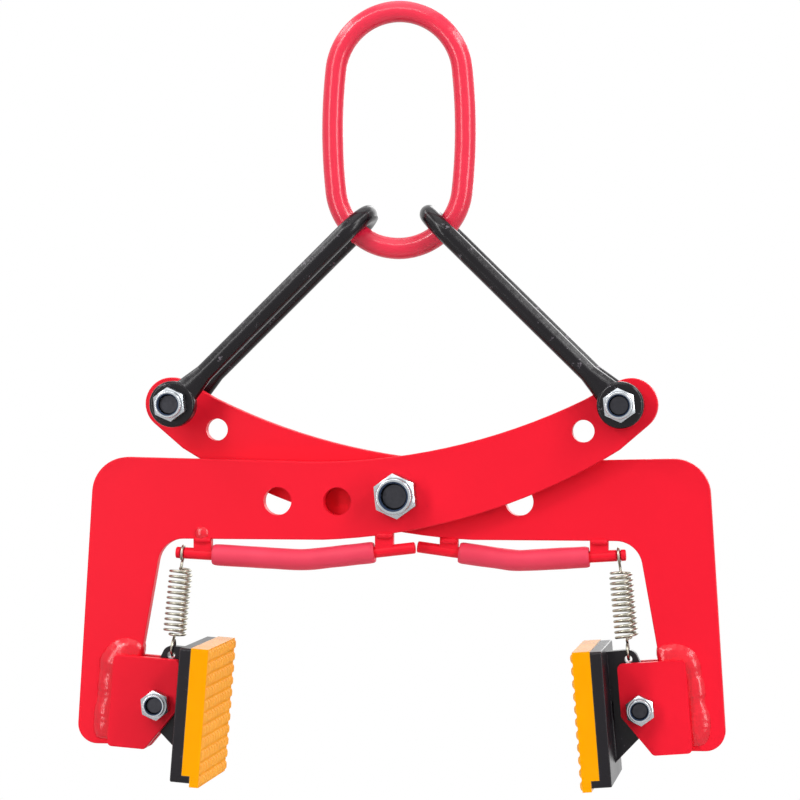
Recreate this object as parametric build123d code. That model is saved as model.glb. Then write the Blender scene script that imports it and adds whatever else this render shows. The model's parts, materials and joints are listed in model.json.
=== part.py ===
from build123d import *
import os
from math import asin, atan2, cos, degrees, hypot, pi, radians, sin, sqrt, tan

# Scissor lifting clamp for kerbs and blocks, hanging from its ring
# Millimetres and degrees, X to the right, Y away from the viewer, Z up
# The origin is where a hook bears, inside the ring's upper bow

# Master link
link_wire = 13.0
link_inner_width = 68.0
link_inner_length = 130.0
link_bow_inner = 32.2

# Linkage at rest
arm_radius = 146.2
arm_angle = 22.1
hanger_radius = 189.7

# Plates and the stack of thicknesses
plate_thick = 8.0
pivot_washer_thick = 3.0
cheek_thick = 6.0
plate_edge_round = 0.7

# Arm plate outline, from the pivot, with the leg on the left
arm_top = 23.0
arm_bottom = 27.0
leg_outer = 188.0
leg_outer_lean = 3.6
leg_inner = 144.5
leg_inner_lean = 10.2
leg_foot = 152.5
top_corner_round = 22.0
inner_corner_round = 16.0
foot_outer_round = 12.0
foot_inner_round = 4.0
dip_x = 70.0
dip_z = 20.5
upper_mid_x = 30.0
upper_mid_z = 29.0
upper_end_x = 113.0
upper_end_z = 58.0
lower_start_x = 45.0
lower_mid_x = 40.0
lower_mid_z = 13.5
lower_end_x = 133.8
lower_end_z = 27.8
arm_end_round = 16.0
arm_end_reach = 5.5

# Holes in the arm plate
pivot_hole = 17.0
pivot_hole_pitch = 36.5
pivot_hole_drop = 3.7
eye_hole = 13.5
spare_eye_dx = 23.0
spare_eye_dz = 15.8

# Fasteners: thread size and width across flats
pivot_thread = 16.0
pivot_flats = 24.0
eye_thread = 12.0
eye_flats = 18.0
jaw_thread = 10.0
jaw_flats = 16.0
thread_clearance = 0.1
nut_turn = 6.0
washer_outer = 30.0

# Lock nut and bolt proportions, as shares of the thread size
nut_hex_share = 0.72
nut_height_share = 1.0
head_height_share = 0.63
collar_share = 0.68
cavity_share = 0.6
lip_share = 0.565
insert_share = 0.2
lip_height_share = 0.06
bolt_recess_share = 0.34
corner_cut_share = 0.95
corner_cut_angle = 30.0

# Shackles
shackle_wire = 11.3
bow_clearance = 0.7
shackle_eye_outer = 28.0
shackle_eye_round = 2.0
shackle_taper = 27.0
shackle_neck = 8.0
shackle_neck_half = 8.6
shackle_neck_step = 0.4
eye_washer_thick = 2.5
eye_washer_outer = 24.0
spacer_outer = 18.0
side_clearance = 0.3

# Bumper rods, from the pivot, with the leg on the left
rod_wire = 7.0
rod_groove_depth = 0.5
rod_groove_width = 2.8
rod_end_round = 0.8
rod_bend_round = 45.0
rod_outer_drop = 35.5
rod_bend_drop = 39.6
rod_inner_drop = 31.5
left_rod_outer = -136.3
left_rod_bend = -57.5
left_rod_inner = 10.6
left_spring_x = -132.2
left_lug_outer = -119.5
left_lug_inner = -8.0
right_rod_outer = -137.0
right_rod_bend = -71.0
right_rod_inner = -10.6
right_spring_x = -132.8
right_lug_outer = -121.0
right_lug_inner = -30.0
lug_width = 11.0
lug_thick = 6.0
lug_rise = 16.0
sleeve_outer = 13.5
sleeve_fit = 0.05
sleeve_end_gap = 0.6

# Jaw, in its own frame: u towards the load, w up, from the jaw bolt
jaw_x = 146.5
jaw_drop = 127.5
jaw_tilt = 4.5
jaw_hole = 10.5
cheek_outer = -29.0
cheek_inner = 12.0
cheek_top = 28.0
cheek_bottom = -28.0
cheek_cut_top = -3.5
cheek_cut_foot = -5.5
cheek_round = 3.0
holder_back = 18.0
holder_thick = 7.0
holder_top = 39.0
holder_bottom = -41.5
holder_round = 2.0
holder_lip = 4.5
pad_width = 84.0
pad_back_thick = 5.0
pad_front_thick = 7.0
pad_top = 39.5
pad_bottom = -43.5
bump_depth = 2.2
bump_rows = 11
bump_columns = 11
bump_land = 2.2
lug_side_clearance = 0.5
jaw_knuckle_round = 11.5
ear_u = 5.4
ear_w = 30.2
ear_round = 5.5
ear_hole = 4.6
lug_top = 35.5
lug_foot = -31.5

# Tension springs
spring_wire = 1.7
spring_outer = 14.5
spring_turns = 12
hook_clearance = 0.5
hook_run = 8.0
hook_sink = 0.6
hook_end_angle = 80.0
gap_sample_step = 0.75
gap_sample_skip = 6.0

# Worked out from the sizes above
link_bow = link_bow_inner + link_wire / 2
link_half = (link_inner_width + link_wire) / 2
upper_bow_z = -link_bow_inner
lower_bow_z = link_bow_inner - link_inner_length
link_bow_reach = (upper_bow_z - lower_bow_z) / 2
link_side_round = (link_half ** 2 + link_bow_reach ** 2 - link_bow ** 2) / (2 * (link_half - link_bow))
eye_x = arm_radius * cos(radians(arm_angle))
eye_z = arm_radius * sin(radians(arm_angle))
hanger_angle = degrees(asin(eye_x / hanger_radius))
pivot_z = lower_bow_z - hanger_radius * cos(radians(hanger_angle)) - eye_z
plate_inner = pivot_washer_thick / 2
plate_outer = plate_inner + plate_thick
plate_mid = (plate_inner + plate_outer) / 2
shackle_inner = plate_outer + side_clearance + eye_washer_thick
shackle_outer = shackle_inner + shackle_wire
jaw_lug_thick = plate_thick - 2 * lug_side_clearance
half_turn = Rot(0, 0, 180)


def cylinder_along_y(x, z, y_front, y_rear, radius):
    return Pos(x, (y_front + y_rear) / 2, z) * Rot(90, 0, 0) * Cylinder(radius, y_rear - y_front)


def hexagon_along_y(x, z, y_front, y_rear, flats):
    outline = RegularPolygon(flats / 2, 6, major_radius=False, rotation=90 + nut_turn)
    return Pos(x, y_rear, z) * Rot(90, 0, 0) * extrude(outline, y_rear - y_front)


def cut_corners(hexagon, x, z, y_front, y_rear, flats, at_front, at_rear):
    round_bar = cylinder_along_y(x, z, y_front, y_rear, flats / sqrt(3))
    depth = flats / sqrt(3) - flats / 2 * corner_cut_share
    rims = round_bar.edges().filter_by(GeomType.CIRCLE).sort_by(Axis.Y)
    chosen = ([rims[0]] if at_front else []) + ([rims[-1]] if at_rear else [])
    return hexagon & chamfer(chosen, depth * tan(radians(corner_cut_angle)), depth)


def plate_in_xz(outline, y_front, y_rear):
    return Plane((0, y_rear, 0), (1, 0, 0), (0, -1, 0)) * extrude(outline, y_rear - y_front)


def tangent_point(start, centre, radius, side):
    away_x = start[0] - centre[0]
    away_z = start[1] - centre[1]
    spread = side * asin(sqrt(1 - (radius / hypot(away_x, away_z)) ** 2))
    heading = atan2(away_z, away_x) + spread
    return (centre[0] + radius * cos(heading), centre[1] + radius * sin(heading))


def master_link():
    # Two round bows joined by slightly bulging sides
    join_angle = atan2(link_bow_reach, link_side_round - link_half)
    join_x = link_bow * cos(join_angle)
    upper_join = upper_bow_z + link_bow * sin(join_angle)
    lower_join = lower_bow_z - link_bow * sin(join_angle)
    middle = (upper_bow_z + lower_bow_z) / 2
    start = (join_x, 0, upper_join)
    path = Wire([
        ThreePointArc(start, (0, 0, upper_bow_z + link_bow), (-join_x, 0, upper_join)),
        ThreePointArc((-join_x, 0, upper_join), (-link_half, 0, middle), (-join_x, 0, lower_join)),
        ThreePointArc((-join_x, 0, lower_join), (0, 0, lower_bow_z - link_bow), (join_x, 0, lower_join)),
        ThreePointArc((join_x, 0, lower_join), (link_half, 0, middle), start),
    ])
    section = Plane(start, z_dir=path % 0) * Circle(link_wire / 2)
    return sweep(section, path)


def shackle():
    # Lies along X from its eyes at the origin to its bow
    offset = shackle_inner + shackle_wire / 2
    crown = hanger_radius - link_bow + link_wire / 2 + bow_clearance + shackle_wire / 2
    bend = crown - offset
    leg_start = shackle_taper
    path = Wire([
        Line((leg_start, -offset, 0), (bend, -offset, 0)),
        ThreePointArc((bend, -offset, 0), (crown, 0, 0), (bend, offset, 0)),
        Line((bend, offset, 0), (leg_start, offset, 0)),
    ])
    leg_plane = Plane((leg_start, -offset, 0), (0, 1, 0), (1, 0, 0))
    body = sweep(leg_plane * Circle(shackle_wire / 2), path)
    for side in (-1, 1):
        neck_plane = Plane((shackle_neck, side * offset, 0), (0, 1, 0), (1, 0, 0))
        end_plane = Plane((shackle_taper, side * offset, 0), (0, 1, 0), (1, 0, 0))
        neck = neck_plane * Ellipse(shackle_wire / 2 - shackle_neck_step, shackle_neck_half)
        body += loft([neck, end_plane * Circle(shackle_wire / 2)])
        half = shackle_wire / 2
        eye = cylinder_along_y(0, 0, side * offset - half, side * offset + half, shackle_eye_outer / 2)
        body += fillet(eye.edges().filter_by(GeomType.CIRCLE), shackle_eye_round)
    body -= cylinder_along_y(0, 0, -shackle_outer, shackle_outer, eye_hole / 2)
    return Pos(-eye_x, 0, pivot_z + eye_z) * Rot(0, hanger_angle - 90, 0) * body


def arm_outline():
    # Seen from the front, leg on the left, with the pivot at the origin
    outer_slope = tan(radians(leg_outer_lean))
    inner_slope = tan(radians(leg_inner_lean))
    top_left = (-leg_outer + arm_top * outer_slope, arm_top)
    foot_left = (-leg_outer - leg_foot * outer_slope, -leg_foot)
    foot_right = (-leg_inner - (leg_foot - arm_bottom) * inner_slope, -leg_foot)
    inner_corner = (-leg_inner, -arm_bottom)
    dip = (-dip_x, dip_z)
    upper_end = (upper_end_x, upper_end_z)
    lower_start = (-lower_start_x, -arm_bottom)
    lower_end = (lower_end_x, lower_end_z)
    end_centre = (eye_x + arm_end_reach, eye_z)
    end_top = tangent_point(upper_end, end_centre, arm_end_round, -1)
    end_foot = tangent_point(lower_end, end_centre, arm_end_round, 1)
    chord_x = (end_top[0] + end_foot[0]) / 2 - end_centre[0]
    chord_z = (end_top[1] + end_foot[1]) / 2 - end_centre[1]
    tip_turn = atan2(chord_z, chord_x) + (0 if chord_x > 0 else pi)
    tip = (end_centre[0] + arm_end_round * cos(tip_turn), end_centre[1] + arm_end_round * sin(tip_turn))
    outline = make_face([
        Line(dip, top_left),
        Line(top_left, foot_left),
        Line(foot_left, foot_right),
        Line(foot_right, inner_corner),
        Line(inner_corner, lower_start),
        ThreePointArc(lower_start, (lower_mid_x, -lower_mid_z), lower_end),
        Line(lower_end, end_foot),
        ThreePointArc(end_foot, tip, end_top),
        Line(end_top, upper_end),
        ThreePointArc(upper_end, (upper_mid_x, upper_mid_z), dip),
    ])
    corners = [
        (top_left, top_corner_round),
        (foot_left, foot_outer_round),
        (foot_right, foot_inner_round),
        (inner_corner, inner_corner_round),
    ]
    for corner, radius in corners:
        place = Vector(corner[0], corner[1], 0)
        outline = fillet(outline.vertices().sort_by_distance(place)[0], radius)
    return outline


def front_arm_plate():
    plate = extrude(arm_outline(), plate_thick)
    rims = plate.edges().group_by(Axis.Z)
    plate = fillet(rims[0] + rims[-1], plate_edge_round)
    holes = [
        (0, 0, pivot_hole),
        (-pivot_hole_pitch, -pivot_hole_drop, pivot_hole),
        (-2 * pivot_hole_pitch, -pivot_hole_drop, pivot_hole),
        (eye_x, eye_z, eye_hole),
        (eye_x - spare_eye_dx, eye_z - spare_eye_dz, eye_hole),
    ]
    for x, z, width in holes:
        plate -= Pos(x, z, plate_thick / 2) * Cylinder(width / 2, 2 * plate_thick)
    return Plane((0, -plate_inner, pivot_z), (1, 0, 0), (0, -1, 0)) * plate


def lock_nut(x, z, seat, thread, flats):
    # Sits on the plane y = seat and faces the viewer
    hex_front = seat - thread * nut_hex_share
    front = seat - thread * nut_height_share
    insert_rear = front + thread * (lip_height_share + insert_share)
    insert_front = front + thread * lip_height_share
    body = hexagon_along_y(x, z, hex_front, seat, flats)
    body = cut_corners(body, x, z, hex_front, seat, flats, True, True)
    collar = cylinder_along_y(x, z, front, hex_front, thread * collar_share)
    rim = collar.edges().filter_by(GeomType.CIRCLE).sort_by(Axis.Y)[0]
    body += fillet(rim, thread * lip_height_share)
    body -= cylinder_along_y(x, z, insert_rear, seat, thread / 2 + thread_clearance)
    body -= cylinder_along_y(x, z, insert_front, insert_rear, thread * cavity_share)
    body -= cylinder_along_y(x, z, front, insert_front, thread * lip_share)
    ring = cylinder_along_y(x, z, insert_front, insert_rear, thread * cavity_share)
    ring -= cylinder_along_y(x, z, insert_front, insert_rear, thread / 2 + thread_clearance)
    return body, ring


def hex_bolt(x, z, seat_front, seat_rear, thread, flats):
    # The head bears on y = seat_rear and the thread ends inside the nut on y = seat_front
    end = seat_front - thread * (nut_height_share - bolt_recess_share)
    head_rear = seat_rear + thread * head_height_share
    head = hexagon_along_y(x, z, seat_rear, head_rear, flats)
    head = cut_corners(head, x, z, seat_rear, head_rear, flats, False, True)
    shank = cylinder_along_y(x, z, end, seat_rear, thread / 2)
    rim = shank.edges().filter_by(GeomType.CIRCLE).sort_by(Axis.Y)[0]
    return head + chamfer(rim, thread * lip_height_share)


def washer(x, z, y_front, y_rear, outer, hole):
    ring = cylinder_along_y(x, z, y_front, y_rear, outer / 2)
    return ring - cylinder_along_y(x, z, y_front, y_rear, hole / 2)


def rod_point(x, places):
    # Centre of the straight rod at x, before its bend is rounded
    outer, bend, inner = places
    if x < bend:
        drop = rod_outer_drop + (rod_bend_drop - rod_outer_drop) * (x - outer) / (bend - outer)
    else:
        drop = rod_bend_drop + (rod_inner_drop - rod_bend_drop) * (x - bend) / (inner - bend)
    return (x, -drop)


def bent_tube(start_x, end_x, places, radius):
    bend = rod_point(places[1], places)
    points = [rod_point(start_x, places), bend, rod_point(end_x, places)]
    path = FilletPolyline(*points, radius=rod_bend_round)
    path = Plane((0, -plate_mid, pivot_z), (1, 0, 0), (0, -1, 0)) * path
    section = Plane(path @ 0, z_dir=path % 0) * Circle(radius)
    return sweep(section, path)


def bumper(places, spring_x, lug_places):
    # Rod, its two lugs and its sleeve, under the front plate
    outer, bend, inner = places
    rod = bent_tube(outer, inner, places, rod_wire / 2)
    rims = [edge for edge in rod.edges().filter_by(GeomType.CIRCLE) if edge.radius < rod_wire]
    rims = sorted(rims, key=lambda edge: edge.arc_center.X)
    rod = fillet([rims[0], rims[-1]], rod_end_round)
    groove_x, groove_z = rod_point(spring_x, places)
    slope = degrees(atan2(rod_point(bend, places)[1] - rod_point(outer, places)[1], bend - outer))
    groove = Cylinder(rod_wire, rod_groove_width)
    groove -= Cylinder(rod_wire / 2 - rod_groove_depth, rod_groove_width)
    rod -= Pos(groove_x, -plate_mid, pivot_z + groove_z) * Rot(0, 90 - slope, 0) * groove
    lugs = []
    for x in lug_places:
        lug_z = pivot_z + rod_point(x, places)[1] + lug_rise / 2
        block = Pos(x, -plate_mid, lug_z) * Box(lug_width, lug_thick, lug_rise)
        lugs.append((block - rod - front_plate).solids()[0])
    outer_end = max(lug_places[0] + lug_width / 2, outer) + sleeve_end_gap
    inner_end = lug_places[1] - lug_width / 2 - sleeve_end_gap
    sleeve = bent_tube(outer_end, inner_end, places, sleeve_outer / 2)
    sleeve -= bent_tube(outer_end, inner_end, places, rod_wire / 2 + sleeve_fit)
    return rod, Compound(lugs), sleeve


def jaw_frame(piece):
    # From the left jaw's own frame to its place on the front plate
    return Pos(-jaw_x, -plate_mid, pivot_z - jaw_drop) * Rot(0, jaw_tilt, 0) * piece


def cheek(y_front, y_rear):
    outline = make_face(Polyline(
        (cheek_inner, cheek_top),
        (cheek_outer, cheek_top),
        (cheek_outer, cheek_bottom),
        (cheek_cut_foot, cheek_bottom),
        (cheek_inner, cheek_cut_top),
        close=True,
    ))
    outline = fillet(outline.vertices(), cheek_round)
    piece = plate_in_xz(outline, y_front, y_rear)
    piece = fillet(piece.edges().group_by(Axis.Y)[0], plate_edge_round)
    piece -= cylinder_along_y(0, 0, y_front, y_rear, jaw_hole / 2)
    return jaw_frame(piece)


def pad_holder():
    tall = holder_top - holder_bottom
    middle = (holder_top + holder_bottom) / 2
    front = holder_back + holder_thick
    tray = Pos(holder_back + holder_thick / 2, 0, middle) * Box(holder_thick, pad_width, tall)
    lip = Box(pad_back_thick, pad_width, holder_lip)
    tray += Pos(front + pad_back_thick / 2, 0, holder_bottom + holder_lip / 2) * lip
    corners = tray.edges().filter_by(Axis.X)
    ends = corners.group_by(Axis.Z)[0] + corners.group_by(Axis.Z)[-1]
    tray = fillet(ends, holder_round)
    back = [edge for edge in tray.edges() if abs(edge.center().X - holder_back) < thread_clearance]
    return jaw_frame(fillet(back, plate_edge_round))


def jaw_lug():
    half = jaw_lug_thick / 2
    ear = Pos(ear_u, ear_w) * Circle(ear_round)
    knuckle = Circle(jaw_knuckle_round)
    root = Line((holder_back, lug_top), (holder_back, lug_foot))
    outline = make_hull(ear.edges() + knuckle.edges() + root.edges())
    rib = plate_in_xz(outline, -half, half)
    rib -= cylinder_along_y(0, 0, -half, half, jaw_hole / 2)
    rib -= cylinder_along_y(ear_u, ear_w, -half, half, ear_hole / 2)
    return jaw_frame(rib)


def groove_prism(pitch, length):
    # V groove along Y, open towards +X, with its mouth on x = 0
    half = (pitch - bump_land) / 2
    corners = [(-bump_depth, 0), (bump_depth, 2 * half), (bump_depth, -2 * half)]
    return plate_in_xz(make_face(Polyline(*corners, close=True)), -length, length)


def grip_pad():
    back = holder_back + holder_thick
    step = back + pad_back_thick
    front = step + pad_front_thick
    lip_top = holder_bottom + holder_lip
    middle = (pad_top + pad_bottom) / 2
    tall = pad_top - pad_bottom
    body = Pos((step + front) / 2, 0, middle) * Box(pad_front_thick, pad_width, tall)
    block = Box(pad_back_thick, pad_width, pad_top - lip_top)
    body += Pos((back + step) / 2, 0, (pad_top + lip_top) / 2) * block
    row_pitch = tall / bump_rows
    column_pitch = pad_width / bump_columns
    across = groove_prism(row_pitch, pad_width)
    upright = Rot(90, 0, 0) * groove_prism(column_pitch, tall)
    grooves = [Pos(front, 0, pad_bottom + row * row_pitch) * across for row in range(bump_rows + 1)]
    for column in range(bump_columns + 1):
        grooves.append(Pos(front, -pad_width / 2 + column * column_pitch, middle) * upright)
    return jaw_frame(body - grooves)


def biarc(start, start_way, end, end_way):
    # Two arcs that leave start and reach end along the given ways
    span = end - start
    turn = 1 - start_way.dot(end_way)
    along = span.dot(start_way + end_way)
    reach = (sqrt(along ** 2 + 2 * turn * span.dot(span)) - along) / (2 * turn)
    join = (start + start_way * reach + end - end_way * reach) / 2
    first = TangentArc(start, join, tangent=start_way)
    second = TangentArc(end, join, tangent=-end_way)
    return [first, second]


def spring_path(top, bottom):
    # From the hook in the jaw's ear, up the coil, to the hook over the rod
    up = (top - bottom).normalized()
    deep = Vector(0, 1, 0)
    side = deep.cross(up)
    height = (top - bottom).length

    def place(x, y, z):
        return bottom + side * x + deep * y + up * z

    def way(x, y, z):
        return (side * x + deep * y + up * z).normalized()

    def hook_point(radius, centre, angle):
        return place(0, radius * cos(radians(angle)), centre + radius * sin(radians(angle)))

    def hook_arc(radius, centre, first, last):
        middle = hook_point(radius, centre, (first + last) / 2)
        return ThreePointArc(hook_point(radius, centre, first), middle, hook_point(radius, centre, last))

    coil = (spring_outer - spring_wire) / 2
    low_hook = jaw_lug_thick / 2 + spring_wire / 2 + hook_clearance
    low_centre = low_hook - hook_sink
    high_hook = rod_wire / 2 - rod_groove_depth + spring_wire / 2 + hook_clearance
    coil_start = low_centre + hook_run
    coil_rise = height - hook_run - coil_start
    climb = coil_rise / (2 * pi * spring_turns)

    def coil_point(turn):
        angle = 2 * pi * turn
        return place(coil * cos(angle), coil * sin(angle), coil_start + coil_rise * turn / spring_turns)

    def coil_way(turn):
        angle = 2 * pi * turn
        return way(-coil * sin(angle), coil * cos(angle), climb)

    edges = [
        hook_arc(low_hook, low_centre, hook_end_angle, 0),
        hook_arc(low_hook, low_centre, 0, -90),
        hook_arc(low_hook, low_centre, -90, -180),
    ]
    edges += biarc(place(0, -low_hook, low_centre), up, coil_point(0), coil_way(0))
    for half in range(2 * spring_turns):
        low = half / 2
        high = (half + 1) / 2
        edges += biarc(coil_point(low), coil_way(low), coil_point(high), coil_way(high))
    edges += biarc(coil_point(spring_turns), coil_way(spring_turns), place(0, high_hook, height), up)
    edges += [
        hook_arc(high_hook, height, 0, 90),
        hook_arc(high_hook, height, 90, 180),
        hook_arc(high_hook, height, 180, 360 - hook_end_angle),
    ]
    return edges


def least_gap(path):
    # Smallest clear distance of the wire to itself, measured on points along it
    steps = round(path.length / gap_sample_step)
    spots = path.positions([step / steps for step in range(steps + 1)])
    skip = round(gap_sample_skip / gap_sample_step)
    gaps = [(far - near).length for at, near in enumerate(spots) for far in spots[at + skip:]]
    return min(gaps) - spring_wire


def tension_spring(places, spring_x):
    x, z = rod_point(spring_x, places)
    top = Vector(x, -plate_mid, pivot_z + z)
    tilt = radians(jaw_tilt)
    ear_x = -jaw_x + ear_u * cos(tilt) + ear_w * sin(tilt)
    ear_z = pivot_z - jaw_drop - ear_u * sin(tilt) + ear_w * cos(tilt)
    path = Wire(spring_path(top, Vector(ear_x, -plate_mid, ear_z)))
    print("spring least gap", round(least_gap(path), 2))
    section = Plane(path @ 0, z_dir=path % 0) * Circle(spring_wire / 2)
    return sweep(section, path)


parts = {}
parts["master_link"] = master_link()

# Crossed plates, identical and turned half round to each other
front_plate = front_arm_plate()
parts["front_arm_plate"] = front_plate
parts["rear_arm_plate"] = half_turn * front_plate

# Pivot: washer between the plates, bolt from behind, lock nut in front
parts["pivot_washer"] = washer(0, pivot_z, -plate_inner, plate_inner, washer_outer, pivot_hole)
parts["pivot_bolt"] = hex_bolt(0, pivot_z, -plate_outer, plate_outer, pivot_thread, pivot_flats)
pivot_pieces = lock_nut(0, pivot_z, -plate_outer, pivot_thread, pivot_flats)
parts["pivot_nut"], parts["pivot_nut_insert"] = pivot_pieces

# Shackles with their bolts, nuts and spacers
left_shackle = shackle()
parts["left_shackle"] = left_shackle
parts["right_shackle"] = half_turn * left_shackle
for name, side in (("left", -1), ("right", 1)):
    x = side * eye_x
    z = pivot_z + eye_z
    nut, ring = lock_nut(x, z, -shackle_outer, eye_thread, eye_flats)
    parts[name + "_eye_bolt"] = hex_bolt(x, z, -shackle_outer, shackle_outer, eye_thread, eye_flats)
    parts[name + "_eye_nut"] = nut
    parts[name + "_eye_nut_insert"] = ring
    spacer = washer(-eye_x, z, -shackle_inner, plate_inner - side_clearance, spacer_outer, eye_hole)
    parts[name + "_eye_spacer"] = spacer if side < 0 else half_turn * spacer
    flat = washer(-eye_x, z, plate_outer + side_clearance, shackle_inner, eye_washer_outer, eye_hole)
    parts[name + "_eye_washer"] = flat if side < 0 else half_turn * flat

# Bumper rods with their lugs, sleeves and springs
left_places = (left_rod_outer, left_rod_bend, left_rod_inner)
right_places = (right_rod_outer, right_rod_bend, right_rod_inner)
left_lugs = (left_lug_outer, left_lug_inner)
right_lugs = (right_lug_outer, right_lug_inner)
bumpers = (
    ("left", left_places, left_spring_x, left_lugs, Location()),
    ("right", right_places, right_spring_x, right_lugs, half_turn),
)
for name, places, spring_x, lug_places, turn in bumpers:
    rod, lugs, sleeve = bumper(places, spring_x, lug_places)
    parts[name + "_bumper_rod"] = turn * rod
    parts[name + "_bumper_lugs"] = turn * lugs
    parts[name + "_bumper_sleeve"] = turn * sleeve
    parts[name + "_spring"] = turn * tension_spring(places, spring_x)

# Jaws: cheeks on the legs, and between them the swinging lug, tray and pad
outer_cheek = cheek(-plate_thick / 2 - cheek_thick, -plate_thick / 2)
inner_cheek = cheek(plate_thick / 2, plate_thick / 2 + cheek_thick)
jaw_pieces = {"pad_holder": pad_holder(), "jaw_lug": jaw_lug(), "grip_pad": grip_pad()}
parts["left_front_cheek"] = outer_cheek
parts["left_rear_cheek"] = inner_cheek
parts["right_front_cheek"] = half_turn * inner_cheek
parts["right_rear_cheek"] = half_turn * outer_cheek
for name, side in (("left", -1), ("right", 1)):
    for piece_name, piece in jaw_pieces.items():
        parts[name + "_" + piece_name] = piece if side < 0 else half_turn * piece
    x = side * jaw_x
    z = pivot_z - jaw_drop
    seat_front = side * plate_mid - plate_thick / 2 - cheek_thick
    seat_rear = side * plate_mid + plate_thick / 2 + cheek_thick
    nut, ring = lock_nut(x, z, seat_front, jaw_thread, jaw_flats)
    parts[name + "_jaw_bolt"] = hex_bolt(x, z, seat_front, seat_rear, jaw_thread, jaw_flats)
    parts[name + "_jaw_nut"] = nut
    parts[name + "_jaw_nut_insert"] = ring

os.makedirs("parts", exist_ok=True)
for name, piece in parts.items():
    export_step(piece, "parts/" + name + ".step")

print("pivot", round(pivot_z, 3), "eye", round(eye_x, 3), round(pivot_z + eye_z, 3))
print("lower bow centre", round(lower_bow_z, 3), "hanger angle", round(hanger_angle, 3))
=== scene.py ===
import json
import math
import bmesh
import bpy
from mathutils import Matrix, Vector, noise


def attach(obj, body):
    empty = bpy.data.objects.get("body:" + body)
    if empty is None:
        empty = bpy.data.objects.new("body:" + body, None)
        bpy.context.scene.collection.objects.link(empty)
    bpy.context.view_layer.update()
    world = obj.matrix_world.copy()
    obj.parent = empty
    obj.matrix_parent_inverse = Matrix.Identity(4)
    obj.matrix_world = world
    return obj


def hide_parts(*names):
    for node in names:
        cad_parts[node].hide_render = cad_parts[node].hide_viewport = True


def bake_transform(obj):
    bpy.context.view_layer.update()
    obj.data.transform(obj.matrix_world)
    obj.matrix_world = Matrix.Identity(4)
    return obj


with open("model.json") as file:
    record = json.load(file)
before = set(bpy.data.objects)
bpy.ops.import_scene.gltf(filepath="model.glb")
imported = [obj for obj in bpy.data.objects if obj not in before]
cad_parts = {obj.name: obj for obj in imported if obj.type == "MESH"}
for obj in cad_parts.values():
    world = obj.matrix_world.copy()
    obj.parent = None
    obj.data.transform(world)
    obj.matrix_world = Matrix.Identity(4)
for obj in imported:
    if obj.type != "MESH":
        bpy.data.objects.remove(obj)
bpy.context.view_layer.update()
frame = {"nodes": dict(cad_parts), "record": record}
nodes = frame["nodes"]
print("frame loaded,", len(nodes), "nodes")

mm = 0.001


# Small helpers

def linearHex(code):
    # sRGB hex to linear, with alpha
    channels = [int(code[at:at + 2], 16) / 255 for at in (0, 2, 4)]
    return [c / 12.92 if c <= 0.04045 else ((c + 0.055) / 1.055) ** 2.4 for c in channels] + [1.0]


def perMm(size):
    # texture scale that gives features of this many millimetres
    return 1000.0 / size


def addNode(tree, kind, settings, links):
    # a setting goes to the socket of that name or number, or else to the node itself
    node = tree.nodes.new(kind)
    for key, value in settings.items():
        if isinstance(key, int) or key in node.inputs:
            node.inputs[key].default_value = value
        else:
            setattr(node, key, value)
    for key, source in links.items():
        tree.links.new(source, node.inputs[key])
    return node


def newTree(name):
    material = bpy.data.materials.new(name)
    material.use_nodes = True
    tree = material.node_tree
    tree.nodes.clear()
    return material, tree


def pieceFromMesh(name, mesh, material, body):
    piece = bpy.data.objects.new(name, mesh)
    bpy.context.scene.collection.objects.link(piece)
    mesh.materials.append(material)
    if body:
        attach(piece, body)
    return piece


def smoothOver(mesh, sharp):
    # smooth but for edges that turn by more than this many degrees
    mesh.shade_smooth()
    mesh.set_sharp_from_angle(angle=math.radians(sharp))


# Materials

mixFrom, mixTo, mixOut = 6, 7, 2  # a Mix node's colour sockets, which share their names with others


def cloudyFinish(finish, grade):
    # two close shades drift into each other, and the gloss drifts with them
    material, tree = newTree(finish["name"])
    place = addNode(tree, "ShaderNodeTexCoord", {}, {}).outputs["Object"]
    clouds = {"Scale": perMm(finish["cloudMm"]), "Detail": grade["cloudDetail"]}
    cloudy = addNode(tree, "ShaderNodeTexNoise", clouds, {"Vector": place}).outputs["Fac"]
    shades = {"data_type": "RGBA", mixFrom: linearHex(finish["colour"]), mixTo: linearHex(finish["shade"])}
    colour = addNode(tree, "ShaderNodeMix", shades, {"Factor": cloudy}).outputs[mixOut]
    spread = {"To Min": finish["roughness"] - grade["glossier"], "To Max": finish["roughness"] + grade["duller"]}
    gloss = addNode(tree, "ShaderNodeMapRange", spread, {"Value": cloudy}).outputs["Result"]
    return material, tree, place, colour, gloss


def relief(tree, place, finish, grade, lump, below):
    # one sort of lumps, such as dents, on top of the relief below them where there is one
    pattern = {"Scale": perMm(finish[lump + "Mm"]), "Detail": grade[lump + "Detail"]}
    height = addNode(tree, "ShaderNodeTexNoise", pattern, {"Vector": place}).outputs["Fac"]
    rise = {"Strength": finish[lump + "Bump"], "Distance": grade[lump + "Deep"] * mm}
    return addNode(tree, "ShaderNodeBump", rise, {"Height": height, **below}).outputs["Normal"]


paintGrade = {"ior": 1.5, "cloudDetail": 2.0, "glossier": 0.05, "duller": 0.08,
              "scuffDetail": 9.0, "scuffRough": 0.7, "scuffFade": 0.06,
              "edgeSamples": 4, "edgeFrom": 0.97, "edgeTo": 0.78, "brokenFrom": 0.4, "brokenTo": 0.6,
              "dentDetail": 3.0, "dentDeep": 1.2, "peelDetail": 2.0, "peelDeep": 0.3}


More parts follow.
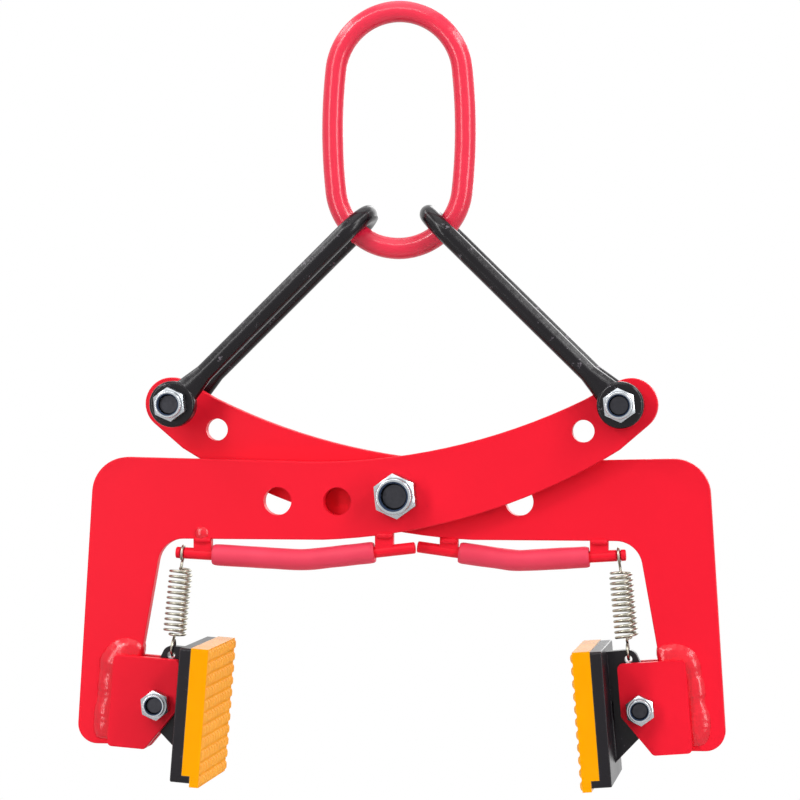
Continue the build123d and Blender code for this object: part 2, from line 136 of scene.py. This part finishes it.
def paintedSteel(paint):
    # brushed or dipped paint over steel: faint orange peel, soft dents of the metal below, scuffs from handling
    material, tree, place, colour, gloss = cloudyFinish(paint, paintGrade)
    pattern = {"Scale": perMm(paint["scuffMm"]), "Detail": paintGrade["scuffDetail"],
               "Roughness": paintGrade["scuffRough"]}
    scuff = addNode(tree, "ShaderNodeTexNoise", pattern, {"Vector": place}).outputs["Fac"]
    spots = {"From Min": paint["scuffFrom"], "From Max": paint["scuffFrom"] + paintGrade["scuffFade"]}
    scuffed = addNode(tree, "ShaderNodeMapRange", spots, {"Value": scuff})
    # sharp edges: where a normal rounded over edgeMm leaves the face's own, broken up by the scuff pattern
    rounding = {"samples": paintGrade["edgeSamples"], "Radius": paint["edgeMm"] * mm}
    rounded = addNode(tree, "ShaderNodeBevel", rounding, {})
    flat = addNode(tree, "ShaderNodeNewGeometry", {}, {})
    bend = addNode(tree, "ShaderNodeVectorMath", {"operation": "DOT_PRODUCT"},
                   {0: rounded.outputs["Normal"], 1: flat.outputs["Normal"]})
    turned = {"From Min": paintGrade["edgeFrom"], "From Max": paintGrade["edgeTo"], "To Max": paint["edgeWear"]}
    edge = addNode(tree, "ShaderNodeMapRange", turned, {"Value": bend.outputs["Value"]})
    patchy = {"From Min": paintGrade["brokenFrom"], "From Max": paintGrade["brokenTo"]}
    broken = addNode(tree, "ShaderNodeMapRange", patchy, {"Value": scuff})
    rubbed = addNode(tree, "ShaderNodeMath", {"operation": "MULTIPLY_ADD", "use_clamp": True},
                     {0: edge.outputs["Result"], 1: broken.outputs["Result"], 2: scuffed.outputs["Result"]})
    worn = addNode(tree, "ShaderNodeMix", {"data_type": "RGBA", mixTo: linearHex(paint["worn"])},
                   {"Factor": rubbed.outputs["Value"], mixFrom: colour})
    dents = relief(tree, place, paint, paintGrade, "dent", {})
    peel = relief(tree, place, paint, paintGrade, "peel", {"Normal": dents})
    skin = {"IOR": paintGrade["ior"], "Specular IOR Level": paint["shine"]}
    shader = addNode(tree, "ShaderNodeBsdfPrincipled", skin,
                     {"Base Color": worn.outputs[mixOut], "Roughness": gloss, "Normal": peel})
    addNode(tree, "ShaderNodeOutputMaterial", {}, {"Surface": shader.outputs["BSDF"]})
    return material


plateGrade = {"cloudDetail": 4.0, "glossier": 0.08, "duller": 0.12, "markDetail": 3.0, "markDeep": 0.2}


def platedSteel(plate):
    # bright plating over turned or drawn steel: clear reflections broken by fine handling marks
    material, tree, place, colour, gloss = cloudyFinish(plate, plateGrade)
    marks = relief(tree, place, plate, plateGrade, "mark", {})
    shader = addNode(tree, "ShaderNodeBsdfPrincipled", {"Metallic": 1.0},
                     {"Base Color": colour, "Roughness": gloss, "Normal": marks})
    addNode(tree, "ShaderNodeOutputMaterial", {}, {"Surface": shader.outputs["BSDF"]})
    return material


castGrade = {"ior": 1.5, "cloudDetail": 3.0, "glossier": 0.06, "duller": 0.08,
             "grainDetail": 3.0, "grainDeep": 0.3, "lightReach": (3.0 * mm, 1.5 * mm, 0.5 * mm)}


def castPolymer(cast):
    # moulded rubber, nylon or polyurethane: soft gloss, faint mould grain, a little light inside the pale ones
    material, tree, place, colour, gloss = cloudyFinish(cast, castGrade)
    grain = relief(tree, place, cast, castGrade, "grain", {})
    skin = {"IOR": castGrade["ior"], "Specular IOR Level": cast["shine"], "Subsurface Weight": cast["inner"],
            "Subsurface Radius": castGrade["lightReach"], "Subsurface Scale": 1.0}
    shader = addNode(tree, "ShaderNodeBsdfPrincipled", skin,
                     {"Base Color": colour, "Roughness": gloss, "Normal": grain})
    addNode(tree, "ShaderNodeOutputMaterial", {}, {"Surface": shader.outputs["BSDF"]})
    return material


# orange peel, handling marks and mould grain are finer in life, and are drawn as coarse as they need to show

# red enamel on laser-cut plate: nearly even, satin
plateRed = paintedSteel({
    "name": "plate_red_enamel", "colour": "F41B32", "shade": "EC182D", "worn": "A80E1E",
    "roughness": 0.4, "shine": 0.16, "edgeMm": 0.8, "edgeWear": 0.5, "cloudMm": 70, "scuffMm": 14, "scuffFrom": 0.72,
    "peelMm": 1.6, "peelBump": 0.12, "dentMm": 26, "dentBump": 0.06})
# the same enamel pooled over weld metal: wet gloss on soft lumps
weldRed = paintedSteel({
    "name": "weld_red_enamel", "colour": "EE182E", "shade": "DA1429", "worn": "B81022",
    "roughness": 0.2, "shine": 0.42, "edgeMm": 0.5, "edgeWear": 0.0, "cloudMm": 12, "scuffMm": 14, "scuffFrom": 0.76,
    "peelMm": 2.4, "peelBump": 0.06, "dentMm": 7, "dentBump": 0.5})
# thick dipped enamel on a forged ring: wet gloss over a wavy surface
ringRed = paintedSteel({
    "name": "ring_red_enamel", "colour": "F02647", "shade": "E61F40", "worn": "C82036",
    "roughness": 0.21, "shine": 0.52, "edgeMm": 0.5, "edgeWear": 0.0, "cloudMm": 40, "scuffMm": 9, "scuffFrom": 0.74,
    "peelMm": 3.0, "peelBump": 0.12, "dentMm": 12, "dentBump": 0.3})
# black enamel on drop forgings: uneven scale below, grey scuffs, edges rubbed grey
forgedBlack = paintedSteel({
    "name": "forged_black_enamel", "colour": "09060A", "shade": "110D13", "worn": "706A71",
    "roughness": 0.22, "shine": 0.27, "edgeMm": 1.2, "edgeWear": 0.8, "cloudMm": 22, "scuffMm": 6, "scuffFrom": 0.61,
    "peelMm": 2.0, "peelBump": 0.08, "dentMm": 11, "dentBump": 0.22})
# black paint on folded plate: flatter, scratched
trayBlack = paintedSteel({
    "name": "tray_black_paint", "colour": "100D12", "shade": "18141A", "worn": "6B6268",
    "roughness": 0.27, "shine": 0.26, "edgeMm": 1.0, "edgeWear": 0.8, "cloudMm": 25, "scuffMm": 6, "scuffFrom": 0.66,
    "peelMm": 2.0, "peelBump": 0.1, "dentMm": 12, "dentBump": 0.2})
# bright zinc on lock nuts and washers: pale metal with small cloudy patches
brightZinc = platedSteel({
    "name": "bright_zinc", "colour": "C4C7CA", "shade": "9DA3A9", "roughness": 0.24,
    "cloudMm": 5, "markMm": 0.8, "markBump": 0.12})
# black oxide on bolts: dark, oily metal
boltBlack = platedSteel({
    "name": "black_oxide", "colour": "46464B", "shade": "303034", "roughness": 0.3,
    "cloudMm": 3, "markMm": 1.6, "markBump": 0.5})
# nickel on drawn spring wire: slightly warm metal
springNickel = platedSteel({
    "name": "spring_nickel", "colour": "B7B4A6", "shade": "8C897D", "roughness": 0.3,
    "cloudMm": 4, "markMm": 0.7, "markBump": 0.12})
# nylon locking ring: dark blue, dull
lockNylon = castPolymer({
    "name": "lock_nylon", "colour": "2A3C58", "shade": "1F2E49", "roughness": 0.42, "shine": 0.3, "inner": 0.0,
    "cloudMm": 4, "grainMm": 0.6, "grainBump": 0.15})
# red vinyl hose: matte, a little pink
hoseVinyl = castPolymer({
    "name": "hose_vinyl", "colour": "EC4560", "shade": "E03A53", "roughness": 0.48, "shine": 0.25, "inner": 0.05,
    "cloudMm": 18, "grainMm": 1.0, "grainBump": 0.2})
# cast polyurethane: amber body, smooth skin that pales at a low angle
padAmber = castPolymer({
    "name": "pad_polyurethane", "colour": "FCA900", "shade": "F8A000", "roughness": 0.16, "shine": 0.1, "inner": 0.1,
    "cloudMm": 20, "grainMm": 0.9, "grainBump": 0.05})
# the same cast on the gripping face: no gloss; the bumps get a paler colour as a painted sheen, and the grooves
# between them a darker one as painted shade
gripSkin = {"roughness": 0.7, "shine": 0.06, "inner": 0.1, "cloudMm": 9, "grainMm": 0.8, "grainBump": 0.3}
padFaceSheen = castPolymer({"name": "pad_polyurethane_painted_sheen", "colour": "FFB44C", "shade": "F9AB44", **gripSkin})
padGrooveShade = castPolymer({"name": "pad_polyurethane_groove_painted_shade", "colour": "F8A52A", "shade": "F29C22", **gripSkin})
print("materials made")

# the finish for each of the record's material slots
finishes = {"plate_red": plateRed, "link_red": ringRed, "black_forging": forgedBlack, "black_paint": trayBlack,
            "zinc": brightZinc, "black_oxide": boltBlack, "spring_steel": springNickel, "nylon": lockNylon,
            "hose_rubber": hoseVinyl, "pad_rubber": padAmber}
for part in frame["record"]["subparts"]:
    dressed = nodes[part["node"]]
    dressed.data.materials.clear()
    dressed.data.materials.append(finishes[part["material_slot"]])
print("CAD nodes dressed")


# Wire, bead and hose forms come from a curve with its own thickness at each point

tubes = {"order": 4, "merge": 1e-6, "sharp": 50}


def tubeFromPoints(name, points, radii, around, steps, capped=True):
    curve = bpy.data.curves.new(name + "_path", "CURVE")
    curve.dimensions = "3D"
    curve.bevel_depth = 1.0
    curve.bevel_resolution = around
    curve.resolution_u = steps
    curve.use_fill_caps = capped
    spline = curve.splines.new("NURBS")
    spline.points.add(len(points) - 1)
    for spot, at, radius in zip(spline.points, points, radii):
        spot.co = (at[0], at[1], at[2], 1.0)
        spot.radius = radius
    spline.order_u = tubes["order"]
    spline.use_endpoint_u = True
    holder = bpy.data.objects.new(name + "_path", curve)
    bpy.context.scene.collection.objects.link(holder)
    bpy.context.view_layer.update()
    mesh = bpy.data.meshes.new_from_object(holder.evaluated_get(bpy.context.evaluated_depsgraph_get()))
    mesh.name = name
    bpy.data.objects.remove(holder)
    bpy.data.curves.remove(curve)
    shape = bmesh.new()
    shape.from_mesh(mesh)
    bmesh.ops.remove_doubles(shape, verts=shape.verts, dist=tubes["merge"])
    bmesh.ops.recalc_face_normals(shape, faces=shape.faces)
    shape.to_mesh(mesh)
    shape.free()
    smoothOver(mesh, tubes["sharp"])
    return mesh


# Where things are, as in the CAD: metres here, millimetres in the pieces' own dictionaries

armY = -0.0055  # middle of the front plate's thickness
pivotZ = -0.285609
jaws = {"bolt": (-0.1465, armY, pivotZ - 0.1275), "tilt": 4.5}
sides = {
    "left": {"turn": Matrix.Identity(4), "arm": "front_arm", "jaw": "left_jaw"},
    "right": {"turn": Matrix.Rotation(math.pi, 4, "Z"), "arm": "rear_arm", "jaw": "right_jaw"},
}
jawSpot = Matrix.Translation(jaws["bolt"]) @ Matrix.Rotation(math.radians(jaws["tilt"]), 4, "Y")


def armPoint(x, z):
    # from the pivot, in the middle of the plate
    return Vector((x * mm, armY, pivotZ + z * mm))


def jawPoint(u, w):
    # from the jaw bolt: u to the load, w up
    return jawSpot @ Vector((u * mm, 0, w * mm))


# Tension springs: an open coil whose ends curl in to the axis, a short stem and a hook at each end

springs = {
    "left": (-132.2, -35.71), "right": (-132.8, -35.76),  # where the upper hook hangs on the rod
    "hole": (5.4, 30.2),  # where the lower hook sits in the jaw's rib
    "wire": 1.7, "coil": 6.4, "turns": 12, "perTurn": 16, "around": 2, "steps": 3,
    "lowHook": 4.85, "lowArc": (65, -181, -20), "lowRun": 8.6, "sink": 0.6,
    "highHook": 4.35, "highArc": (0, 246, 20), "highRun": 10.4,
    "lowStem": ((-4.365, 2.4), (-1.6, 5.2), (0, 6.4)), "lowNeck": 1.4,
    "highStem": ((0, -6.4), (1.5, -5.0), (3.915, -2.4)), "highNeck": 1.6,
    "curl": (0.1, 0.3, 0.55, 0.8, 0.95), "curlTurn": 38, "curlRise": 0.12, "startTurn": -30,
}


def springPoints(top):
    high = armPoint(*top)
    low = jawPoint(*springs["hole"])
    up = (high - low).normalized()
    deep = Vector((0, 1, 0))
    across = deep.cross(up)
    height = (high - low).length / mm
    lowHook, highHook, curl = springs["lowHook"], springs["highHook"], springs["curl"]
    turns, perTurn = springs["turns"], springs["perTurn"]
    lowCentre = lowHook - springs["sink"]
    coilStart = lowCentre + springs["lowRun"]
    coilEnd = height - springs["highRun"]
    spots = []
    for degrees in range(*springs["lowArc"]):
        a = math.radians(degrees)
        spots.append((0, lowHook * math.cos(a), lowCentre + lowHook * math.sin(a)))
    spots += [(0, y, lowCentre + z) for y, z in springs["lowStem"]]
    spots.append((0, 0, coilStart - springs["lowNeck"]))
    wide = springs["coil"] / ((2 + math.cos(2 * math.pi / perTurn)) / 3)  # the spline runs inside its points
    curlTurn = math.radians(springs["curlTurn"])
    firstTurn = math.radians(springs["startTurn"])
    lastTurn = firstTurn + 2 * math.pi * turns
    for step, share in enumerate(curl):
        left = len(curl) - step
        a = firstTurn - curlTurn * left
        rise = coilStart - springs["curlRise"] * left
        spots.append((wide * share * math.cos(a), wide * share * math.sin(a), rise))
    for at in range(turns * perTurn + 1):
        a = firstTurn + 2 * math.pi * at / perTurn
        rise = coilStart + (coilEnd - coilStart) * at / (turns * perTurn)
        spots.append((wide * math.cos(a), wide * math.sin(a), rise))
    for step, share in enumerate(reversed(curl)):
        a = lastTurn + curlTurn * (step + 1)
        rise = coilEnd + springs["curlRise"] * (step + 1)
        spots.append((wide * share * math.cos(a), wide * share * math.sin(a), rise))
    spots.append((0, 0, coilEnd + springs["highNeck"]))
    spots += [(0, y, height + z) for y, z in springs["highStem"]]
    for degrees in range(*springs["highArc"]):
        a = math.radians(degrees)
        spots.append((0, highHook * math.cos(a), height + highHook * math.sin(a)))
    return [low + (across * x + deep * y + up * z) * mm for x, y, z in spots], low, high


for name, side in sides.items():
    points, low, high = springPoints(springs[name])
    radii = [springs["wire"] / 2 * mm] * len(points)
    mesh = tubeFromPoints(name + "_spring_coil", points, radii, springs["around"], springs["steps"])
    mesh.transform(side["turn"])
    coil = pieceFromMesh(name + "_spring_coil", mesh, springNickel, None)
    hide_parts(name + "_spring")
    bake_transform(coil)
print("springs wound")


# Bumper hoses: vinyl hose pushed over the bent rod, a little lumpy, with cut ends

hoses = {
    "left": {"outer": (-113.4, -36.69), "bend": (-57.5, -39.6), "inner": (-14.1, -34.44), "seed": 3.0},
    "right": {"outer": (-114.9, -36.87), "bend": (-71.0, -39.6), "inner": (-36.1, -34.92), "seed": 7.0},
    "radius": 6.75, "bore": 3.8, "endRound": 0.9, "endHold": 0.05, "slack": 0.15, "lump": 0.35, "lumpPace": 0.06,
    "perRun": 9, "around": 6, "steps": 4,
}


def hosePoints(run):
    outer, bend, inner = (Vector((run[key][0], 0, run[key][1])) for key in ("outer", "bend", "inner"))
    perRun = hoses["perRun"]
    spots = []
    for first, last in ((outer, bend), (bend, inner)):
        spots += [first.lerp(last, at / perRun) for at in range(perRun)]
    spots.append(inner)
    # the point at the bend gives way, so that the hose rounds it
    spots[perRun] = spots[perRun - 1].lerp(spots[perRun + 1], 0.5).lerp(spots[perRun], 0.5)
    start = (spots[1] - spots[0]).normalized()
    finish = (spots[-1] - spots[-2]).normalized()
    spots[1:1] = [spots[0] + start * hoses["endHold"], spots[0] + start * hoses["endRound"]]
    spots[-1:-1] = [spots[-1] - finish * hoses["endRound"], spots[-1] - finish * hoses["endHold"]]
    return spots


for name, side in sides.items():
    spots = hosePoints(hoses[name])
    radii = []
    for spot in spots:
        lump = noise.noise(Vector((spot.x * hoses["lumpPace"], hoses[name]["seed"], 0))) * hoses["lump"]
        radii.append((hoses["radius"] - hoses["slack"] - abs(lump)) * mm)
    radii[0] = radii[1] = radii[-1] = radii[-2] = (hoses["radius"] - hoses["endRound"]) * mm
    points = [armPoint(spot.x, spot.z) for spot in spots]
    mesh = tubeFromPoints(name + "_bumper_hose", points, radii, hoses["around"], hoses["steps"], capped=False)
    # the bore joins the outside at both cut ends, a hair inside them so that the bridge finds its direction
    inside = points[1:-1]
    bore = tubeFromPoints(name + "_hose_bore", inside, [hoses["bore"] * mm] * len(inside),
                          hoses["around"], hoses["steps"], capped=False)
    shape = bmesh.new()
    shape.from_mesh(mesh)
    shape.from_mesh(bore)
    rims = [edge for edge in shape.edges if edge.is_boundary]
    middle = (points[0].x + points[-1].x) / 2
    for end in (-1, 1):
        bmesh.ops.bridge_loops(shape, edges=[rim for rim in rims if (rim.verts[0].co.x - middle) * end > 0])
    bmesh.ops.recalc_face_normals(shape, faces=shape.faces)
    shape.to_mesh(mesh)
    shape.free()
    bpy.data.meshes.remove(bore)
    smoothOver(mesh, tubes["sharp"])
    mesh.transform(side["turn"])
    hose = pieceFromMesh(name + "_bumper_hose", mesh, hoseVinyl, side["arm"])
    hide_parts(name + "_bumper_sleeve")
print("hoses fitted")


# Gripping pads: a cast block with a grid of blunt bumps, in the jaw's own frame

pads = {"width": 84.0, "top": 39.5, "bottom": -43.5, "back": 25.0, "step": 30.0, "root": 35.5, "face": 37.0,
        "lipTop": -37.0, "lipGap": 0.1, "rows": 11, "columns": 11,  # lip: the tray's ledge below the block
        "bumpInset": 1.0, "bumpTop": 0.45, "round": 0.8, "roundSteps": 3, "near": 0.01, "sharp": 36}


def gripPad(name):
    shape = bmesh.new()
    tall = pads["top"] - pads["bottom"]
    middle = (pads["top"] + pads["bottom"]) / 2
    bmesh.ops.create_grid(shape, x_segments=pads["columns"], y_segments=pads["rows"], size=0.5)
    # the grid lies in XY: turn it to face +u
    stand = Matrix(((0, 0, 1, 0), (1, 0, 0, 0), (0, 1, 0, 0), (0, 0, 0, 1)))
    size = Matrix.Diagonal((1, pads["width"], tall, 1))
    front = Matrix.Translation((pads["root"], 0, middle))
    bmesh.ops.transform(shape, matrix=front @ size @ stand, verts=shape.verts)
    bmesh.ops.recalc_face_normals(shape, faces=shape.faces)
    cells = list(shape.faces)
    # slab behind the bumps
    slab = bmesh.ops.extrude_face_region(shape, geom=cells, use_keep_orig=True)["geom"]
    behind = [part for part in slab if isinstance(part, bmesh.types.BMVert)]
    bmesh.ops.translate(shape, vec=(pads["step"] - pads["root"], 0, 0), verts=behind)
    # block that sits on the tray's lip: the first row's line moves to the lip, and what is above goes back
    firstRow = pads["bottom"] + tall / pads["rows"]
    backFaces = [part for part in slab if isinstance(part, bmesh.types.BMFace)]
    upper = [face for face in backFaces if face.calc_center_median().z > firstRow]
    line = [v for v in behind if abs(v.co.z - firstRow) < pads["near"]]
    bmesh.ops.translate(shape, vec=(0, 0, pads["lipTop"] - firstRow + pads["lipGap"]), verts=line)
    block = bmesh.ops.extrude_face_region(shape, geom=upper)["geom"]
    blockBack = [part for part in block if isinstance(part, bmesh.types.BMVert)]
    bmesh.ops.translate(shape, vec=(pads["back"] - pads["step"], 0, 0), verts=blockBack)
    bmesh.ops.delete(shape, geom=upper, context="FACES_ONLY")
    # bumps
    cells = [face for face in cells if face.is_valid]
    bmesh.ops.inset_individual(shape, faces=cells, thickness=pads["bumpInset"], depth=0.0)
    raised = bmesh.ops.extrude_discrete_faces(shape, faces=cells)["faces"]
    shrink = Matrix.Diagonal((1, pads["bumpTop"], pads["bumpTop"], 1))
    for top in raised:
        centre = top.calc_center_median()
        bmesh.ops.translate(shape, vec=(pads["face"] - pads["root"], 0, 0), verts=top.verts)
        bmesh.ops.transform(shape, matrix=shrink, space=Matrix.Translation(-centre), verts=top.verts)
    rims = [edge for top in raised for edge in top.edges]
    bmesh.ops.bevel(shape, geom=rims, offset=pads["round"], offset_type="OFFSET", affect="EDGES",
                    segments=pads["roundSteps"], profile=0.5, material=-1)
    bmesh.ops.recalc_face_normals(shape, faces=shape.faces)
    # materials: 0 body, 1 bumps with the painted sheen, 2 grooves between the bumps with the painted shade
    for face in shape.faces:
        out = face.calc_center_median().x - pads["root"]
        face.material_index = 1 if out > pads["near"] else 2 if out > -pads["near"] else 0
    bmesh.ops.transform(shape, matrix=Matrix.Scale(mm, 4), verts=shape.verts)
    bmesh.ops.transform(shape, matrix=jawSpot, verts=shape.verts)
    mesh = bpy.data.meshes.new(name)
    shape.to_mesh(mesh)
    shape.free()
    smoothOver(mesh, pads["sharp"])
    return mesh


for name, side in sides.items():
    mesh = gripPad(name + "_bumpy_pad")
    mesh.transform(side["turn"])
    pad = pieceFromMesh(name + "_bumpy_pad", mesh, padAmber, side["jaw"])
    # the bumps take the paler colour as a painted sheen, the grooves the darker one as painted shade
    mesh.materials.append(padFaceSheen)
    mesh.materials.append(padGrooveShade)
    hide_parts(name + "_grip_pad")
print("pads cast")


# Weld beads: lumpy runs, painted over with the parts they join

welds = {
    "taper": 0.55, "pace": 110, "around": 5, "steps": 4,
    # on the jaw, each point with its own radius: u, w, radius
    "cheek": {"ripple": 0.02, "wobble": 0.2, "pitch": 4.0, "flat": 0.58, "depth": 1.2,
              "run": [(-30.0, -25.0, 7.4), (-31.2, -18.0, 9.6), (-31.6, -7.0, 10.2), (-30.4, 4.0, 9.6),
                      (-30.4, 14.0, 10.0), (-28.8, 21.5, 11.0), (-25.6, 26.6, 11.8), (-22.0, 28.4, 11.8),
                      (-18.6, 28.8, 10.6), (-15.4, 28.2, 9.6), (-12.6, 27.4, 7.6)]},
    "rib": {"ripple": 0.08, "wobble": 0.2, "pitch": 2.4, "flat": 1.0, "depth": 3.7,
            "run": [(17.9, -29.0, 1.5), (17.9, -12.0, 1.5), (17.9, 6.0, 1.5)]},
    # on the arm, along the lugs: three radii
    "lug": {"ripple": 0.06, "wobble": 0.2, "pitch": 2.4, "flat": 1.0, "depth": 3.4,
            "half": 5.0, "drop": 27.6, "radii": (1.9, 1.9, 1.9)},
    "heap": {"ripple": 0.04, "wobble": 0.4, "pitch": 3.0, "flat": 0.75, "depth": 2.2,
             "half": 4.6, "drop": 23.6, "radii": (4.0, 5.0, 3.5)},
    # each lug's place along the arm, and how far the arm's lower edge has climbed there
    "left": {"lugs": ((-119.5, 0.0), (-8.0, 3.5)), "seed": 1.0},
    "right": {"lugs": ((-121.0, 0.0), (-30.0, 0.0)), "seed": 5.0},
}


def jawRun(weld):
    places = [jawPoint(u, w) for u, w, radius in weld["run"]]
    return [Vector((place.x, 0, place.z)) for place in places], [radius for u, w, radius in weld["run"]]


def lugRun(weld, x, climb):
    places = [armPoint(x + across, climb - weld["drop"]) for across in (-weld["half"], 0, weld["half"])]
    return [Vector((place.x, 0, place.z)) for place in places], list(weld["radii"])


def addBead(name, run, weld, face, seed, turn, material, body):
    # points every half ripple along the run, thick and thin in turn, then pressed flat towards the plate's face,
    # which is -1 in front and 1 behind
    corners, radii = run
    spots, sizes = [], []
    for at in range(len(corners) - 1):
        count = max(2, round((corners[at + 1] - corners[at]).length / mm / (weld["pitch"] / 2)))
        for step in range(count):
            spots.append(corners[at].lerp(corners[at + 1], step / count))
            sizes.append(radii[at] + (radii[at + 1] - radii[at]) * step / count)
    spots.append(corners[-1])
    sizes.append(radii[-1])
    for at, spot in enumerate(spots):
        wobble = noise.noise(Vector((spot.z * welds["pace"], seed, spot.x * welds["pace"]))) * weld["wobble"]
        ripple = weld["ripple"] if at % 2 else -weld["ripple"]
        sizes[at] *= mm * (1 + wobble + ripple)
    sizes[0] *= welds["taper"]
    sizes[-1] *= welds["taper"]
    mesh = tubeFromPoints(name, spots, sizes, welds["around"], welds["steps"])
    depth = armY + face * weld["depth"] * mm
    mesh.transform(Matrix.Translation((0, depth, 0)) @ Matrix.Diagonal((1, weld["flat"], 1, 1)))
    mesh.transform(turn)
    pieceFromMesh(name, mesh, material, body)


for name, side in sides.items():
    seed, lugs = welds[name]["seed"], welds[name]["lugs"]
    turn, arm = side["turn"], side["arm"]
    for where, face in (("front", -1), ("rear", 1)):
        weld = welds["cheek"]
        addBead(name + "_cheek_weld_" + where, jawRun(weld), weld, face, seed + face, turn, weldRed, arm)
        weld = welds["lug"]
        for index, (x, climb) in enumerate(lugs):
            addBead(name + "_lug_weld_" + where + "_" + str(index), lugRun(weld, x, climb), weld, face,
                    seed + index + face, turn, plateRed, arm)
        weld = welds["rib"]
        addBead(name + "_rib_weld_" + where, jawRun(weld), weld, face, seed + 2 * face, turn, trayBlack, side["jaw"])
    # a heap of weld on the plate's face over the outer lug
    weld = welds["heap"]
    addBead(name + "_lug_weld_heap", lugRun(weld, *lugs[0]), weld, -1, seed, turn, weldRed, arm)
print("welds laid")


# Studio: pale floor below the hanging clamp, white beyond

studio = {"floorZ": -0.62, "floorSize": 8.0, "floorCells": 8, "fadeFrom": 0.42, "fadeTo": 0.75,
          "grainMm": 40, "paperDark": 0.7, "paperPale": 0.74, "fill": 0.14}
white = (1, 1, 1, 1)


def seenRays(tree):
    # 1 for what the camera, metal and glass see, 0 for the light that falls on things
    rays = addNode(tree, "ShaderNodeLightPath", {}, {}).outputs
    mirrored = addNode(tree, "ShaderNodeMath", {"operation": "MAXIMUM"},
                       {0: rays["Is Glossy Ray"], 1: rays["Is Transmission Ray"]})
    seen = addNode(tree, "ShaderNodeMath", {"operation": "MAXIMUM"},
                   {0: rays["Is Camera Ray"], 1: mirrored.outputs["Value"]})
    return seen.outputs["Value"]


def paleFloor():
    # pale paper round the object, fading into the white beyond
    material, tree = newTree("pale_floor")
    place = addNode(tree, "ShaderNodeTexCoord", {}, {}).outputs["Object"]
    away = addNode(tree, "ShaderNodeVectorMath", {"operation": "LENGTH"}, {"Vector": place})
    fade = addNode(tree, "ShaderNodeMapRange", {"From Min": studio["fadeFrom"], "From Max": studio["fadeTo"]},
                   {"Value": away.outputs["Value"]})
    grain = addNode(tree, "ShaderNodeTexNoise", {"Scale": perMm(studio["grainMm"]), "Detail": 3.0}, {"Vector": place})
    tone = addNode(tree, "ShaderNodeMapRange", {"To Min": studio["paperDark"], "To Max": studio["paperPale"]},
                   {"Value": grain.outputs["Fac"]})
    paper = addNode(tree, "ShaderNodeBsdfDiffuse", {}, {"Color": tone.outputs["Result"]})
    beyond = addNode(tree, "ShaderNodeEmission", {"Color": white}, {"Strength": seenRays(tree)})
    mix = addNode(tree, "ShaderNodeMixShader", {},
                  {0: fade.outputs["Result"], 1: paper.outputs["BSDF"], 2: beyond.outputs["Emission"]})
    addNode(tree, "ShaderNodeOutputMaterial", {}, {"Surface": mix.outputs["Shader"]})
    return material


shape = bmesh.new()
bmesh.ops.create_grid(shape, x_segments=studio["floorCells"], y_segments=studio["floorCells"],
                      size=studio["floorSize"] / 2)
floorMesh = bpy.data.meshes.new("studio_floor")
shape.to_mesh(floorMesh)
shape.free()
floorMesh.materials.append(paleFloor())
floor = bpy.data.objects.new("studio_floor", floorMesh)
floor.location.z = studio["floorZ"]
bpy.context.scene.collection.objects.link(floor)

world = bpy.data.worlds.new("white_studio")
bpy.context.scene.world = world
world.use_nodes = True
tree = world.node_tree
tree.nodes.clear()
level = addNode(tree, "ShaderNodeMapRange", {"To Min": studio["fill"], "To Max": 1.0}, {"Value": seenRays(tree)})
sky = addNode(tree, "ShaderNodeBackground", {"Color": white}, {"Strength": level.outputs["Result"]})
addNode(tree, "ShaderNodeOutputWorld", {}, {"Surface": sky.outputs["Background"]})

# two long panels overhead, two upright strips and a high bar in front, soft panels above and behind
lamps = {
    "overLeft": {"at": (-1.35, -0.7, 1.1), "aim": (0, -0.7, -0.2), "wide": 3.0, "tall": 0.3, "watts": 18.5},
    "overRight": {"at": (1.35, -0.7, 1.1), "aim": (0, -0.7, -0.2), "wide": 3.0, "tall": 0.3, "watts": 18.5},
    "ceiling": {"at": (0, -0.3, 1.2), "aim": (0, -0.3, 0), "wide": 1.0, "tall": 2.0, "watts": 7},
    "left": {"at": (-0.92, -1.31, 0.26), "aim": (0, 0, 0.26), "wide": 0.2, "tall": 1.9, "watts": 11.5},
    "right": {"at": (1.3, -0.95, 0.26), "aim": (0, 0, 0.26), "wide": 0.28, "tall": 1.9, "watts": 15},
    "high": {"at": (-0.45, -1.25, 0.88), "aim": (-0.45, 0, -0.05), "wide": 1.2, "tall": 0.14, "watts": 5},
    "back": {"at": (0.5, 1.5, 0.4), "aim": (0, 0, -0.24), "wide": 1.2, "tall": 1.2, "watts": 12},
}
for name, lamp in lamps.items():
    light = bpy.data.lights.new(name + "_softbox", "AREA")
    light.shape = "RECTANGLE"
    light.size = lamp["wide"]
    light.size_y = lamp["tall"]
    light.energy = lamp["watts"]
    box = bpy.data.objects.new(name + "_softbox", light)
    box.location = lamp["at"]
    box.rotation_euler = (Vector(lamp["aim"]) - Vector(lamp["at"])).to_track_quat("-Z", "Y").to_euler()
    bpy.context.scene.collection.objects.link(box)

# Camera at the photograph's angle
shot = {"azimuth": 8.0, "elevation": 0.8, "distance": 2.0, "aim": (0.0006, 0.0, -0.2281),
        "lens": 148.8, "sensor": 36.0}
camera = bpy.data.cameras.new("camera")
camera.lens = shot["lens"]
camera.sensor_width = shot["sensor"]
camera.sensor_fit = "AUTO"
eye = bpy.data.objects.new("camera", camera)
a, e = math.radians(shot["azimuth"]), math.radians(shot["elevation"])
look = Vector((-math.sin(a) * math.cos(e), math.cos(a) * math.cos(e), -math.sin(e)))
eye.location = Vector(shot["aim"]) - look * shot["distance"]
eye.rotation_euler = look.to_track_quat("-Z", "Y").to_euler()
bpy.context.scene.collection.objects.link(eye)
bpy.context.scene.camera = eye
bpy.context.scene.view_settings.view_transform = "Standard"
print("studio set")
